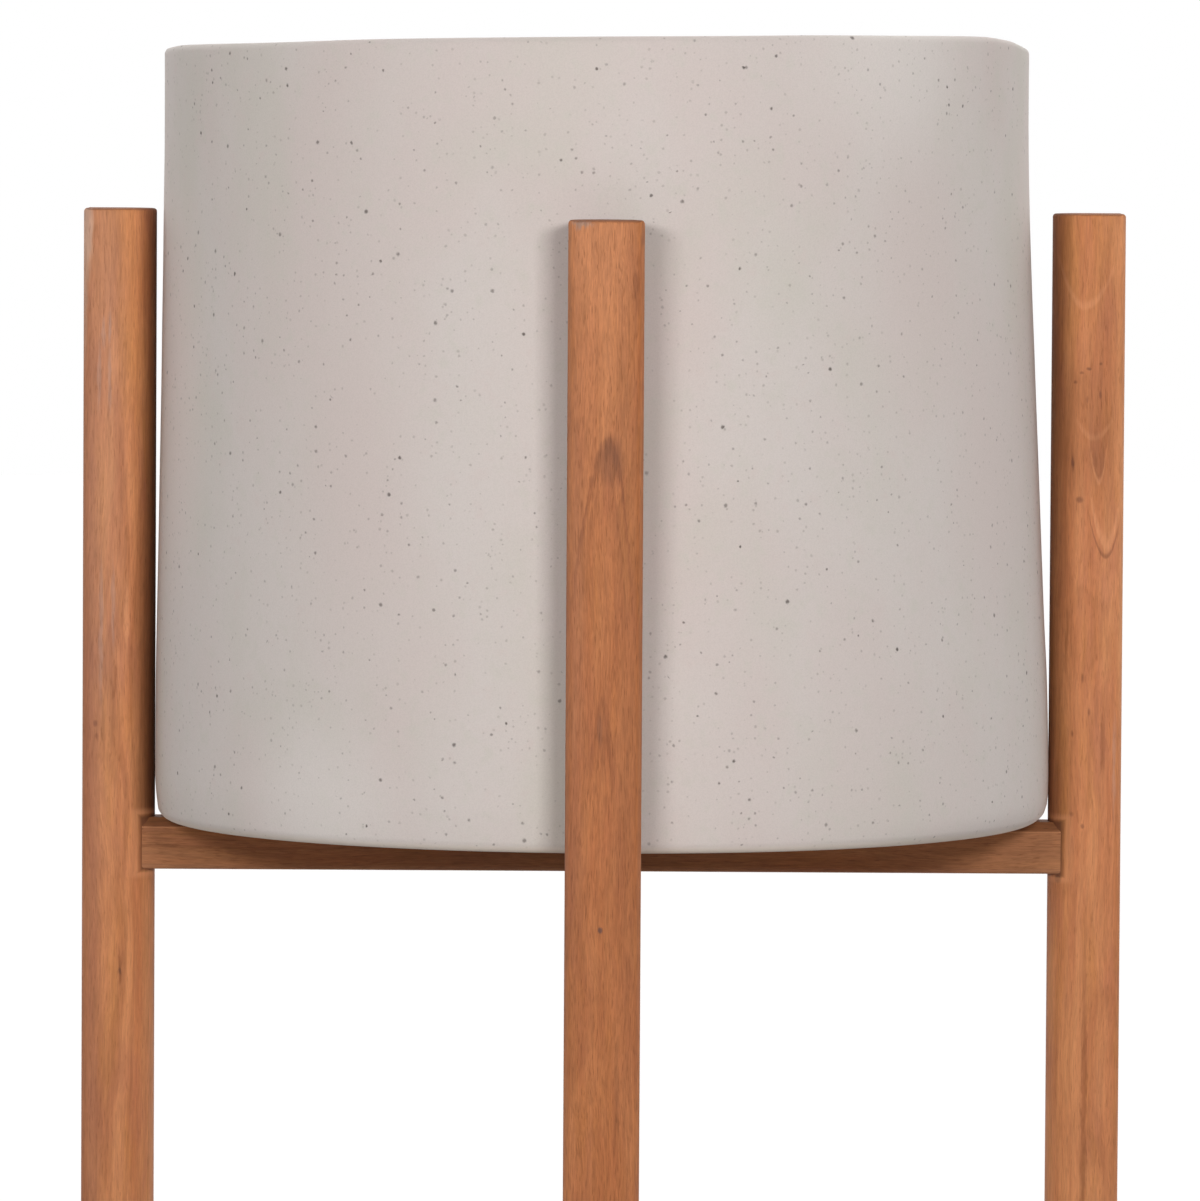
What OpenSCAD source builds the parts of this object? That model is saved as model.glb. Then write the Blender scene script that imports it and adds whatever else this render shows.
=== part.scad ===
// Plant stand: four upright legs joined by two crossed rails, with a round
// ceramic pot standing on the rails between the legs.
// Millimetres, +Z up. The front is -Y, and the origin is on the floor,
// midway between the four legs.

/* [Pot] */
// Largest outside diameter of the pot, low on its side
pot_d = 399; // [300:1:480]
// Height of the pot from its foot to its rim
pot_h = 351; // [240:1:420]
// How much the pot's side draws in from its belly to its rim, on each side
pot_flare = 5.8; // [0:0.1:12]
// Thickness of the pot's side wall
pot_wall = 10; // [7:0.5:16]
// Height of the pot's inside floor above its foot
pot_floor = 15; // [11:0.5:24]
// Height of the belly, where the pot is widest
belly_h = 20; // [14:1:40]
// How much the side tucks in below the belly, on each side
pot_tuck = 1.5; // [0:0.1:4]
// Radius of the edge round the pot's foot
foot_edge = 5; // [2:0.5:9]
// Width of the ring that the pot stands on
foot_ring = 28; // [12:1:60]
// Depth of the hollow inside the foot ring
foot_recess = 3; // [1:0.5:6]
// Radius of the rim's outer edge
rim_outer = 4.5; // [1:0.25:4.5]
// Radius of the rim's inner edge
rim_inner = 2; // [0.5:0.25:2.25]
// Radius between the pot's inside floor and its wall
pot_corner = 16; // [4:1:30]
// Gap between the pot's belly and each leg
pot_gap = 0.5; // [0.3:0.1:4]

/* [Legs] */
// Width of a leg, seen from its outer side
leg_w = 32.5; // [27:0.5:45]
// Thickness of a leg, from its outer face to its half-round inner side
leg_t = 32; // [27:0.5:45]
// How far the legs rise above the rails
leg_rise = 272; // [150:1:340]
// Radius of the two upright outer edges of a leg
leg_edge = 3.5; // [1:0.25:6]
// Radius of the edges round both ends of a leg
leg_end_edge = 1.5; // [0.5:0.25:3]

/* [Rails] */
// Height of the rails' top faces above the floor
rail_top = 250; // [180:1:400]
// Width of a rail
rail_w = 24; // [20:0.5:30]
// Height of a rail
rail_h = 23; // [19:0.5:32]
// Chamfer along both top edges of a rail
rail_chamfer = 4; // [1:0.25:6]
// Radius along both bottom edges of a rail
rail_edge = 1.5; // [0.5:0.25:3]
// How far a rail's corners are let into the legs
rail_seat = 2.7; // [1:0.1:5]

/* [Dowels] */
// Diameter of the two dowels in each joint
dowel_d = 6; // [5:0.5:7.5]
// Length of a dowel
dowel_l = 30; // [20:1:34]
// Distance between the two dowels of a joint
dowel_pitch = 10; // [8.5:0.5:12]
// Chamfer on the ends of a dowel
dowel_chamfer = 0.8; // [0.2:0.1:1.2]
// Glue room past each end of a dowel
dowel_room = 1; // [0.5:0.25:2]

/* [Cross bolt] */
// Diameter of the bolt that clamps the crossed rails
bolt_d = 6; // [4:0.5:6.5]
// Diameter of the bolt's flat head
bolt_head_d = 15; // [11:0.5:20]
// Thickness of the bolt's flat head
bolt_head_h = 2.5; // [2:0.25:4]
// Width of the hexagon socket in the bolt's head
bolt_socket = 4; // [3:0.5:5]
// Depth of the hexagon socket
bolt_socket_h = 1.8; // [1:0.1:2]
// Outside diameter of the threaded insert
insert_d = 9; // [8:0.5:11]
// Length of the threaded insert
insert_l = 7.5; // [5:0.5:8]
// Room above the insert, in the end of its hole
insert_room = 1; // [0.5:0.25:1.25]

/* [Glides] */
// Diameter of the nylon glide under each leg
glide_d = 22; // [16:0.5:26]
// Height of a glide
glide_h = 5; // [4:0.25:8]
// Radius of a glide's bottom edge
glide_edge = 1.5; // [0.5:0.25:2.5]
// Diameter of the nail through each glide
nail_d = 2.5; // [2:0.1:3.5]
// How far the nail is driven into the leg
nail_depth = 16; // [10:1:30]
// Diameter of the nail's head
nail_head_d = 6; // [5:0.25:8]
// Thickness of the nail's head
nail_head_h = 1.2; // [0.8:0.1:1.6]
// How far the nail's head is sunk above the glide's bottom face
nail_sink = 1; // [0.5:0.1:1.5]

/* [Drain] */
// Diameter of the drain hole in the pot's floor
drain_d = 22; // [14:0.5:34]
// How far the plug's flange reaches past the drain hole, on each side
plug_lap = 6; // [3:0.5:10]
// Thickness of the plug's flange
plug_flange = 3; // [2:0.5:5]
// Width of the plug's lifting tab
tab_w = 15; // [10:0.5:18]
// Height of the plug's lifting tab above its flange
tab_h = 12; // [8:0.5:18]
// Thickness of the plug's lifting tab
tab_t = 4; // [3:0.5:6]

/* [Fits] */
// Radial clearance round dowels, bolt, insert and nails
joint_fit = 0.05; // [0.02:0.01:0.1]
// Radial clearance round the plug in the drain hole
plug_fit = 0.08; // [0.02:0.01:0.1]

/* [Hidden] */
$fn = 96;

// Directions of the four sides, turned about Z from +X
side_right = 0;
side_back = 90;
side_left = 180;
side_front = 270;

// Small overrun that lets one shape cut cleanly through another
cut = 1;

// Legs, laid out along +X
leg_inner = pot_d / 2 + pot_gap;
leg_outer = leg_inner + leg_t;
leg_round = leg_w / 2;
leg_round_x = leg_inner + leg_round;
leg_mid = (leg_inner + leg_outer) / 2;
leg_bottom = glide_h;
leg_top = rail_top + leg_rise;

// Rails: how deep the half-round side has curved away at a rail's face
round_sag = leg_round - sqrt(leg_round * leg_round - rail_w * rail_w / 4);
rail_end = leg_inner + round_sag + rail_seat;
rail_bottom = rail_top - rail_h;
rail_mid = rail_top - rail_h / 2;

// Pot profile, measured up from the foot
belly_r = pot_d / 2;
side_steps = 14;
arc_step = 15;

function rise_share(h) = (h - belly_h) / (pot_h - belly_h);
function tuck_share(h) = 1 - h / belly_h;
function side_r(h) = h > belly_h
    ? belly_r - pot_flare * (1 - cos(180 * rise_share(h))) / 2
    : belly_r - pot_tuck * tuck_share(h) * tuck_share(h);
function arc(x, y, r, from, to) =
    [for (i = [0 : arc_steps(from, to)])
        let (a = from + (to - from) * i / arc_steps(from, to))
            [x + r * cos(a), y + r * sin(a)]];
function arc_steps(from, to) = ceil(abs(to - from) / arc_step);

foot_r = side_r(foot_edge);
ring_r = foot_r - foot_ring;
side_low = foot_edge;
side_high = pot_h - rim_outer;
inside_low = pot_floor + pot_corner;
inside_high = pot_h - rim_inner;

outer_side = [for (i = [1 : side_steps - 1])
    let (h = side_low + (side_high - side_low) * i / side_steps)
        [side_r(h), h]];
inner_side = [for (i = [side_steps - 1 : -1 : 1])
    let (h = inside_low + (inside_high - inside_low) * i / side_steps)
        [side_r(h) - pot_wall, h]];
pot_profile = concat(
    [[drain_d / 2, foot_recess], [ring_r - foot_recess, foot_recess], [ring_r, 0]],
    arc(foot_r - foot_edge, foot_edge, foot_edge, -90, 0),
    outer_side,
    arc(side_r(side_high) - rim_outer, side_high, rim_outer, 0, 90),
    arc(side_r(inside_high) - pot_wall + rim_inner, inside_high, rim_inner, 90, 180),
    inner_side,
    arc(side_r(inside_low) - pot_wall - pot_corner, inside_low, pot_corner, 0, -90),
    [[drain_d / 2, pot_floor]]
);

// Plug
plug_r = drain_d / 2 - plug_fit;
plug_stem = pot_floor - foot_recess;
plug_tip = 1.5;
plug_edge = plug_flange / 2;

wood = "#b9774e";
rail_wood = "#9c6345";
dowel_wood = "#d9bd92";
ceramic = "#cbc1bc";
steel = "#8d9094";
brass = "#b8953f";
nylon = "#3a3836";
rubber = "#2d2c2b";

// Turns what is drawn along +X to one of the four sides
module at_side(side) {
    rotate([0, 0, side])
        children();
}

// Extrudes a section, drawn in X and Y, along +X: its X becomes Y, its Y becomes Z
module along_x(from, to) {
    translate([from, 0, 0])
        rotate([90, 0, 90])
            linear_extrude(to - from)
                children();
}

// A cylinder along X
module rod_x(r, from, to) {
    translate([from, 0, 0])
        rotate([0, 90, 0])
            cylinder(r = r, h = to - from);
}

// What has to come off a square corner at the origin, with the corner's
// material towards +X and +Y, to leave a rounded edge of radius r
module corner_waste(r) {
    difference() {
        translate([-cut, -cut])
            square(r + cut);
        translate([r, r])
            circle(r);
    }
}

// A rectangle between two corners, all four of its corners rounded by r
module eased_rectangle(low, high, r) {
    difference() {
        translate(low)
            square(high - low);
        for (x = [0, 1], y = [0, 1])
            translate([x ? high[0] : low[0], y ? high[1] : low[1]])
                mirror([x, 0])
                    mirror([0, y])
                        corner_waste(r);
    }
}

// ---- Legs

// The outer half of a leg: flat, with eased upright edges and eased ends
module leg_outer_half() {
    intersection() {
        translate([0, 0, leg_bottom])
            linear_extrude(leg_top - leg_bottom)
                difference() {
                    translate([leg_round_x, -leg_w / 2])
                        square([leg_outer - leg_round_x, leg_w]);
                    for (side = [0, 1])
                        translate([leg_outer, side ? leg_w / 2 : -leg_w / 2])
                            mirror([1, 0])
                                mirror([0, side])
                                    corner_waste(leg_edge);
                }
        rotate([90, 0, 0])
            translate([0, 0, -leg_w])
                linear_extrude(2 * leg_w)
                    eased_rectangle([leg_inner - leg_w, leg_bottom], [leg_outer, leg_top], leg_end_edge);
        along_x(leg_round_x - cut, leg_outer + cut)
            eased_rectangle([-leg_w / 2, leg_bottom], [leg_w / 2, leg_top], leg_end_edge);
    }
}

// The half-round inner side of a leg, turned about its own axis
module leg_round_half() {
    translate([leg_round_x, 0, 0])
        rotate_extrude()
            intersection() {
                eased_rectangle([-leg_round, leg_bottom], [leg_round, leg_top], leg_end_edge);
                translate([0, leg_bottom - cut])
                    square([leg_round + cut, leg_top - leg_bottom + 2 * cut]);
            }
}

module leg() {
    color(wood)
        difference() {
            union() {
                leg_outer_half();
                leg_round_half();
            }
            rail_blank(0);
            dowel_holes();
            nail_hole();
        }
}

// ---- Rails

module rail_section() {
    difference() {
        polygon([
            [-rail_w / 2, rail_bottom],
            [rail_w / 2, rail_bottom],
            [rail_w / 2, rail_top - rail_chamfer],
            [rail_w / 2 - rail_chamfer, rail_top],
            [-rail_w / 2 + rail_chamfer, rail_top],
            [-rail_w / 2, rail_top - rail_chamfer]
        ]);
        for (side = [0, 1])
            translate([side ? rail_w / 2 : -rail_w / 2, rail_bottom])
                mirror([side, 0])
                    corner_waste(rail_edge);
    }
}

// A rail from a place along X to the seat in the leg at +X
module rail_blank(from) {
    along_x(from, rail_end)
        rail_section();
}

// The block that a half-lap takes out of the rail along X
module lap_waste(from, to) {
    translate([-rail_w / 2, -rail_w, from])
        cube([rail_w, 2 * rail_w, to - from]);
}

module rail() {
    difference() {
        rail_blank(-rail_end);
        dowel_holes();
        at_side(side_left)
            dowel_holes();
    }
}

// ---- Dowels

module place_dowel(level) {
    translate([0, 0, rail_mid + level * dowel_pitch / 2])
        children();
}

module dowel_holes() {
    for (level = [-1, 1])
        place_dowel(level)
            rod_x(dowel_d / 2 + joint_fit,
                rail_end - dowel_l / 2 - dowel_room,
                rail_end + dowel_l / 2 + dowel_room);
}

module dowel(level) {
    color(dowel_wood)
        place_dowel(level)
            translate([rail_end - dowel_l / 2, 0, 0])
                rotate([0, 90, 0])
                    rotate_extrude()
                        polygon([
                            [0, 0],
                            [dowel_d / 2 - dowel_chamfer, 0],
                            [dowel_d / 2, dowel_chamfer],
                            [dowel_d / 2, dowel_l - dowel_chamfer],
                            [dowel_d / 2 - dowel_chamfer, dowel_l],
                            [0, dowel_l]
                        ]);
}

// ---- Glides and nails

module glide() {
    color(nylon)
        translate([leg_mid, 0, 0])
            rotate_extrude()
                difference() {
                    translate([nail_d / 2 + joint_fit, 0])
                        square([glide_d / 2 - nail_d / 2 - joint_fit, glide_h]);
                    translate([glide_d / 2, 0])
                        mirror([1, 0])
                            corner_waste(glide_edge);
                    translate([0, -cut])
                        square([nail_head_d / 2 + joint_fit, nail_sink + nail_head_h + cut]);
                }
}

module nail() {
    color(steel)
        translate([leg_mid, 0, nail_sink]) {
            cylinder(d = nail_head_d, h = nail_head_h);
            cylinder(d = nail_d, h = glide_h + nail_depth - nail_sink);
        }
}

module nail_hole() {
    translate([leg_mid, 0, leg_bottom - cut])
        cylinder(r = nail_d / 2 + joint_fit, h = nail_depth + 2 * cut);
}

// ---- Sub-parts

module leg_front() at_side(side_front) leg();
module leg_back() at_side(side_back) leg();
module leg_left() at_side(side_left) leg();
module leg_right() at_side(side_right) leg();

module rail_across() {
    color(rail_wood)
        difference() {
            rail();
            lap_waste(rail_bottom - cut, rail_mid);
            cylinder(r = insert_d / 2 + joint_fit, h = rail_mid + insert_l + insert_room);
        }
}

module rail_through() {
    color(rail_wood)
        at_side(side_back)
            difference() {
                rail();
                lap_waste(rail_mid, rail_top + cut);
                cylinder(r = bolt_d / 2 + joint_fit, h = rail_top);
            }
}

module dowel_front_upper() at_side(side_front) dowel(1);
module dowel_front_lower() at_side(side_front) dowel(-1);
module dowel_back_upper() at_side(side_back) dowel(1);
module dowel_back_lower() at_side(side_back) dowel(-1);
module dowel_left_upper() at_side(side_left) dowel(1);
module dowel_left_lower() at_side(side_left) dowel(-1);
module dowel_right_upper() at_side(side_right) dowel(1);
module dowel_right_lower() at_side(side_right) dowel(-1);

module cross_bolt() {
    color(steel)
        translate([0, 0, rail_bottom - bolt_head_h])
            difference() {
                union() {
                    rotate_extrude()
                        difference() {
                            square([bolt_head_d / 2, bolt_head_h]);
                            translate([bolt_head_d / 2, 0])
                                mirror([1, 0])
                                    corner_waste(bolt_head_h / 2);
                        }
                    cylinder(d = bolt_d, h = bolt_head_h + rail_h / 2 + insert_l);
                }
                translate([0, 0, -cut])
                    cylinder(d = bolt_socket / cos(30), h = bolt_socket_h + cut, $fn = 6);
            }
}

module cross_insert() {
    color(brass)
        translate([0, 0, rail_mid])
            difference() {
                cylinder(d = insert_d, h = insert_l);
                translate([0, 0, -cut])
                    cylinder(r = bolt_d / 2 + joint_fit, h = insert_l + 2 * cut);
            }
}

module glide_front() at_side(side_front) glide();
module glide_back() at_side(side_back) glide();
module glide_left() at_side(side_left) glide();
module glide_right() at_side(side_right) glide();

module nail_front() at_side(side_front) nail();
module nail_back() at_side(side_back) nail();
module nail_left() at_side(side_left) nail();
module nail_right() at_side(side_right) nail();

module pot() {
    color(ceramic)
        translate([0, 0, rail_top])
            rotate_extrude()
                polygon(pot_profile);
}

// A stopper with a flange on the pot's floor and a tab to pull it out by
module drain_plug() {
    color(rubber)
        translate([0, 0, rail_top + pot_floor]) {
            rotate_extrude()
                polygon(concat(
                    [[0, -plug_stem], [plug_r - plug_tip, -plug_stem], [plug_r, plug_tip - plug_stem]],
                    [[plug_r, 0], [plug_r + plug_lap, 0]],
                    arc(plug_r + plug_lap - plug_edge, plug_flange - plug_edge, plug_edge, 0, 90),
                    [[0, plug_flange]]
                ));
            translate([0, tab_t / 2, plug_flange])
                rotate([90, 0, 0])
                    linear_extrude(tab_t)
                        plug_tab_outline();
        }
}

module plug_tab_outline() {
    tab_r = tab_w / 2;
    translate([-tab_r, -plug_flange / 2])
        square([tab_w, tab_h - tab_r + plug_flange / 2]);
    intersection() {
        translate([0, tab_h - tab_r])
            circle(tab_r);
        translate([-tab_r, -plug_flange / 2])
            square([tab_w, tab_h + plug_flange]);
    }
}

leg_front();
leg_back();
leg_left();
leg_right();
rail_across();
rail_through();
dowel_front_upper();
dowel_front_lower();
dowel_back_upper();
dowel_back_lower();
dowel_left_upper();
dowel_left_lower();
dowel_right_upper();
dowel_right_lower();
cross_bolt();
cross_insert();
glide_front();
glide_back();
glide_left();
glide_right();
nail_front();
nail_back();
nail_left();
nail_right();
pot();
drain_plug();
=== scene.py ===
import math

import bpy
import numpy as np
from mathutils import Matrix, Vector, noise


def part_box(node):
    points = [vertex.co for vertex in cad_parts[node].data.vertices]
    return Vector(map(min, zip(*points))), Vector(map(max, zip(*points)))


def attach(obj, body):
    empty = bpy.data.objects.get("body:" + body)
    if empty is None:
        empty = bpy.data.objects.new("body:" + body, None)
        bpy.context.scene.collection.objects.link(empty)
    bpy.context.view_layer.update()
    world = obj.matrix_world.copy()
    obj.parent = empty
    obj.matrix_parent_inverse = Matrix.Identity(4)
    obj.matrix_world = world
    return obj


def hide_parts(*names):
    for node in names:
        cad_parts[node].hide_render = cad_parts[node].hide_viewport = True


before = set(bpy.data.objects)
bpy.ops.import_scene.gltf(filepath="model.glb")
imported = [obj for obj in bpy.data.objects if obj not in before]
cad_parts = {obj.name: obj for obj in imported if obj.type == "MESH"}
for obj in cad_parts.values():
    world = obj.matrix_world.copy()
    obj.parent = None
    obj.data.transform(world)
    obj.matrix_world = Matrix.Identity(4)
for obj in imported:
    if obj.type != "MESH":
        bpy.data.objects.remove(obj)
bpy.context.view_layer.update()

# A wooden plant stand with a stoneware pot. Everything is in metres, +Z up, the front towards -Y.
MM = 0.001
WHITE = (1, 1, 1, 1)
UP = Vector((0, 0, 1))

# Directions of the four sides, in degrees about Z from +X
SIDES = {"right": 0, "back": 90, "left": 180, "front": 270}

LEG_LOW, LEG_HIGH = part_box("leg_right")
RAIL_LOW, RAIL_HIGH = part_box("rail_across")
POT_LOW, POT_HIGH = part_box("pot")
LEG_MID = (LEG_LOW.x + LEG_HIGH.x) / 2
LEG_HALF = (LEG_HIGH.x - LEG_LOW.x) / 2
LEG_SIDE = LEG_HIGH.y
RAIL_MID = (RAIL_LOW.z + RAIL_HIGH.z) / 2


# ---- Node trees

def colour(code):
    """A hex colour as the linear RGBA that Blender's sockets take."""
    def linear(v):
        return v / 12.92 if v <= 0.04045 else ((v + 0.055) / 1.055) ** 2.4
    parts = [int(code[i:i + 2], 16) / 255 for i in (1, 3, 5)]
    return (*map(linear, parts), 1.0)


class Tree:
    """A node tree, with a short method for each kind of node, or group of nodes, that is used often."""

    def __init__(self, owner):
        owner.use_nodes = True
        self.tree = owner.node_tree
        self.tree.nodes.clear()

    def node(self, kind, inputs=(), **settings):
        made = self.tree.nodes.new("ShaderNode" + kind)
        for key, value in settings.items():
            setattr(made, key, value)
        for key, value in dict(inputs).items():
            if isinstance(value, bpy.types.NodeSocket):
                self.tree.links.new(value, made.inputs[key])
            else:
                made.inputs[key].default_value = value
        return made

    def calc(self, operation, a, b=0.0, c=0.0):
        return self.node("Math", {0: a, 1: b, 2: c}, operation=operation).outputs[0]

    def times(self, a, b):
        return self.calc("MULTIPLY", a, b)

    def plus(self, a, b):
        return self.calc("ADD", a, b)

    def minus(self, a, b):
        return self.calc("SUBTRACT", a, b)

    def size(self, a):
        return self.calc("ABSOLUTE", a)

    def vector(self, operation, a, b=(0, 0, 0)):
        made = self.node("VectorMath", {0: a, 1: b}, operation=operation)
        return made.outputs["Value" if operation == "LENGTH" else "Vector"]

    def scaled(self, vector, x, y, z):
        return self.vector("MULTIPLY", vector, (x, y, z))

    def moved(self, vector, x, y, z):
        return self.vector("ADD", vector, (x, y, z))

    def split(self, vector):
        return self.node("SeparateXYZ", {0: vector}).outputs

    def place(self):
        """Where the surface is, in the row frame at rest."""
        return self.node("TexCoord").outputs["Object"]

    def normal(self):
        """Which way the surface faces, in the same frame."""
        return self.node("TexCoord").outputs["Normal"]

    def noise(self, vector, detail=2.0, rough=0.5, output="Fac"):
        inputs = {"Vector": vector, "Scale": 1.0, "Detail": detail, "Roughness": rough}
        return self.node("TexNoise", inputs).outputs[output]

    def noise_along(self, value, detail, rough):
        inputs = {"W": value, "Scale": 1.0, "Detail": detail, "Roughness": rough}
        return self.node("TexNoise", inputs, noise_dimensions="1D").outputs["Fac"]

    def offset(self, vector, reach, detail=2.0):
        """A random offset, up to half of reach's three lengths each way."""
        noisy = self.noise(vector, detail, output="Color")
        return self.scaled(self.moved(noisy, -0.5, -0.5, -0.5), *reach)

    def step(self, value, low, high, least=0.0, most=1.0):
        """least below low, most above high, and smooth between them."""
        inputs = {"Value": value, "From Min": low, "From Max": high, "To Min": least, "To Max": most}
        return self.node("MapRange", inputs, interpolation_type="SMOOTHSTEP").outputs[0]

    def mix(self, share, a, b):
        """a where share is 0 and b where it is 1."""
        return self.node("Mix", {0: share, 6: a, 7: b}, data_type="RGBA").outputs[2]

    def blot(self, base, place, centre, radii, strength, tint, core=0.30):
        """base with a soft blot on it: at full strength out to core of its radii, gone at their ends."""
        off = self.moved(place, *(-v * MM for v in centre))
        off = self.vector("LENGTH", self.scaled(off, *(1 / (v * MM) for v in radii)))
        return self.mix(self.step(off, core, 1.0, strength, 0.0), base, colour(tint))

    def bright(self, tint, factor):
        return self.node("VectorMath", {0: tint, 3: factor}, operation="SCALE").outputs[0]

    def bump(self, height, depth):
        """depth is how far a height of 1 stands out, in metres."""
        return self.node("Bump", {"Height": height, "Distance": depth, "Strength": 1.0}).outputs[0]

    def surface(self, shader):
        self.node("OutputMaterial", {"Surface": shader})


def new_material(name):
    """A new material and its empty tree."""
    made = bpy.data.materials.new(name)
    return made, Tree(made)


def paint(tree, **inputs):
    """The Principled shader, with its inputs named in words."""
    names = {
        "base": "Base Color", "rough": "Roughness", "normal": "Normal", "metal": "Metallic",
        "specular": "Specular IOR Level",
    }
    values = {names[key]: value for key, value in inputs.items()}
    tree.surface(tree.node("BsdfPrincipled", values).outputs[0])


def dress(thing, material):
    """Gives a piece or a CAD node its one material."""
    thing.data.materials.clear()
    thing.data.materials.append(material)


# ---- Wood

WOOD_LIGHT = "#ce8b5c"
WOOD_WARM = "#b9734a"
WOOD_OCHRE = "#be7d47"
WOOD_PINK = "#b06e50"
WOOD_RUSSET = "#8e5435"
WOOD_DARK = "#8a512f"
WOOD_HEART = "#89583f"
WOOD_PORE = "#623d2b"
WOOD_END = "#714a37"
WOOD_GREY = "#a08d82"
WOOD_PALE = "#e09c6e"
# The arrises' colour: partly wear, partly painted shade where the rounded edges turn from the light
WOOD_WORN_AND_SHADED = "#a0755c"
WOOD_RED = "#bd6831"
WOOD_MAUVE = "#b08a78"
WOOD_SPOT = "#744632"
WOOD_ARCH = "#7d5039"
WOOD_EDGE = "#946049"
# The colour of a painted highlight
WOOD_HIGHLIGHT = "#d6b7a2"
WOOD_STAIN = "#4a3029"
WOOD_KNOT = "#6a4a42"

# In millimetres: the spacing of the growth rings, how far the chamfers on a rail's top reach down,
# how soft an arch's edge is at most, and between which distances from its middle line it fades
RING_WIDTH = 1.9
RAIL_CHAMFER = 4
ARCH_EDGE = 3.5
ARCH_REACH = (12, 17)

# Arches thinner than THIN_ARCH and marks smaller than PIN_KNOT have cleaner edges than the others
THIN_ARCH = 12
PIN_KNOT = 3

# The painted shade on the rounded sides of the legs, where the pot shades them: between which heights
# its strength and its start change, and over what width it comes in
SHADE_STRENGTH = (300, 470)
SHADE_START = (300, 490)
SHADE_WIDTH = 12.5

# How much painted shade darkens the rails' chamfers, where the pot shades them, and how strong the
# painted highlight is along those chamfers' lower edges
BEVEL_SHADE = 0.28
BEVEL_HIGHLIGHT = 0.35


def grain_turn(side, lying):
    """Turns the row frame so that +Z runs along a board's grain: upright, or lying towards its side."""
    turn = Matrix.Rotation(-math.radians(side), 3, "Z")
    if lying:
        turn = Matrix.Rotation(-math.pi / 2, 3, "Y") @ turn
    return turn


class Board:
    """What sets one piece of wood apart: where it was cut from the tree, and the marks on it.

    side and lying say how its grain runs, centre is a point on its middle line and half where its
    darker arrises run, as half sizes across the grain. pith is the place of the tree's heart across
    the grain, tilt how far the heart leans per metre, tone how light the wood is, worn how
    grey its arrises are, partly from wear and partly painted shade where the rounded edges turn from
    the light, and grain how strongly its fibres and pores show.
    inner is how light the painted shade leaves its rounded side where the pot shades it, just above the
    rails and near the top, start where that painted shade starts there, and low how light the painted
    shade leaves that side below the rails.
    marks is a list of (place, radii, strength, colour) and arches a list of (place, steepness on
    either side, thickness and length, strength, colour), in the board's own frame, whose Z runs
    along the grain. An arch of negative length stands on its head. face is the axis that the arches
    spread along: 1 for those of the outer and inner sides, 0 for those of the other two. Lengths
    are in millimetres, but centre is in metres.
    """

    def __init__(self, side, centre, half, pith, tilt, seed, lying=False, tone=1.0, inner=None,
                 start=(-2, -3), low=1.0, worn=0.35, grain=1.0, face=1, marks=(), arches=()):
        self.turn, self.centre, self.lying = grain_turn(side, lying), Vector(centre), lying
        self.half, self.pith, self.tilt, self.seed = half, pith, tilt, seed
        self.tone, self.worn, self.grain = tone, worn, grain
        self.inner, self.start, self.low = inner, start, low
        self.face, self.marks, self.arches = face, marks, arches


def leg_board(side, **settings):
    """The board of the leg on that side."""
    angle = math.radians(SIDES[side])
    middle = (LEG_MID * math.cos(angle), LEG_MID * math.sin(angle), 0)
    half = (LEG_HALF / MM, LEG_SIDE / MM)
    return Board(SIDES[side], middle, half, **settings)


def rail_board(side, **settings):
    """The board of a rail that runs towards that side."""
    half = ((RAIL_HIGH.z - RAIL_MID) / MM, RAIL_HIGH.y / MM)
    return Board(SIDES[side], (0, 0, RAIL_MID), half, lying=True, **settings)


def board_place(t, board):
    """The place and the normal of the surface in a board's own frame."""
    turn = board.turn.to_euler("XYZ")
    inputs = {"Vector": t.place(), "Rotation": turn, "Location": board.turn @ -board.centre}
    place = t.node("Mapping", inputs).outputs[0]
    inputs = {"Vector": t.normal(), "Rotation": turn}
    return place, t.node("VectorRotate", inputs, rotation_type="EULER_XYZ").outputs[0]


def ring_bands(t, fibre, board):
    """Growth rings round a leaning heart: 1 in the dense late wood."""
    across, depth, along_grain = t.split(fibre)
    from_heart = t.node("CombineXYZ", {
        0: t.plus(t.calc("MULTIPLY_ADD", along_grain, board.tilt[0], -board.pith[0] * MM), across),
        1: t.plus(t.calc("MULTIPLY_ADD", along_grain, board.tilt[1], -board.pith[1] * MM), depth),
    }).outputs[0]
    ring = t.calc("DIVIDE", t.vector("LENGTH", from_heart), RING_WIDTH * MM)
    ring = t.plus(ring, 11.3 * board.seed)
    return t.step(t.noise_along(ring, 2.5, 0.55), 0.50, 0.78)


def arch_shade(t, spread, face, arch):
    """A cathedral arch: dark under a steep curve, and paler again lower down."""
    (across, rise), (left, right), (thick, length), strength, _ = arch
    spots = t.split(spread)
    off = t.minus(spots[face], across * MM)
    steep = t.step(off, -1 * MM, 1 * MM, left / MM, right / MM)
    down = t.times(t.minus(rise * MM, spots[2]), math.copysign(1, length))
    under = t.minus(down, t.times(steep, t.times(off, off)))
    edge = min(ARCH_EDGE, 0.4 * thick) * MM
    shade = t.step(under, -0.3 * edge, 0.7 * edge)
    shade = t.times(shade, t.step(under, edge, thick * MM, 1.0, 0.0))
    reach = abs(length) * MM
    shade = t.times(shade, t.step(down, 0.3 * reach, reach, strength, 0.0))
    near, far = ARCH_REACH
    return t.times(shade, t.step(t.size(off), near * MM, far * MM, 1.0, 0.0))


def joint_line(t, blur):
    """How dark the line is on a leg, round the end of its rail, and how pale the
    collar outside it is."""
    outer, side, up = t.split(blur)
    beside = t.minus(t.size(side), RAIL_HIGH.y)
    below = t.size(t.minus(up, RAIL_MID))
    below = t.minus(below, RAIL_HIGH.z - RAIL_MID)
    away = t.calc("MAXIMUM", beside, below)
    near = t.step(outer, -9 * MM, -4 * MM, 1.0, 0.0)
    line = t.step(away, -0.3 * MM, 1.9 * MM, 0.8, 0.0)
    collar = t.times(t.step(away, 0.8 * MM, 2.0 * MM), t.step(away, 2.2 * MM, 5.0 * MM, 0.4, 0.0))
    return t.times(line, near), t.times(collar, near)


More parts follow.
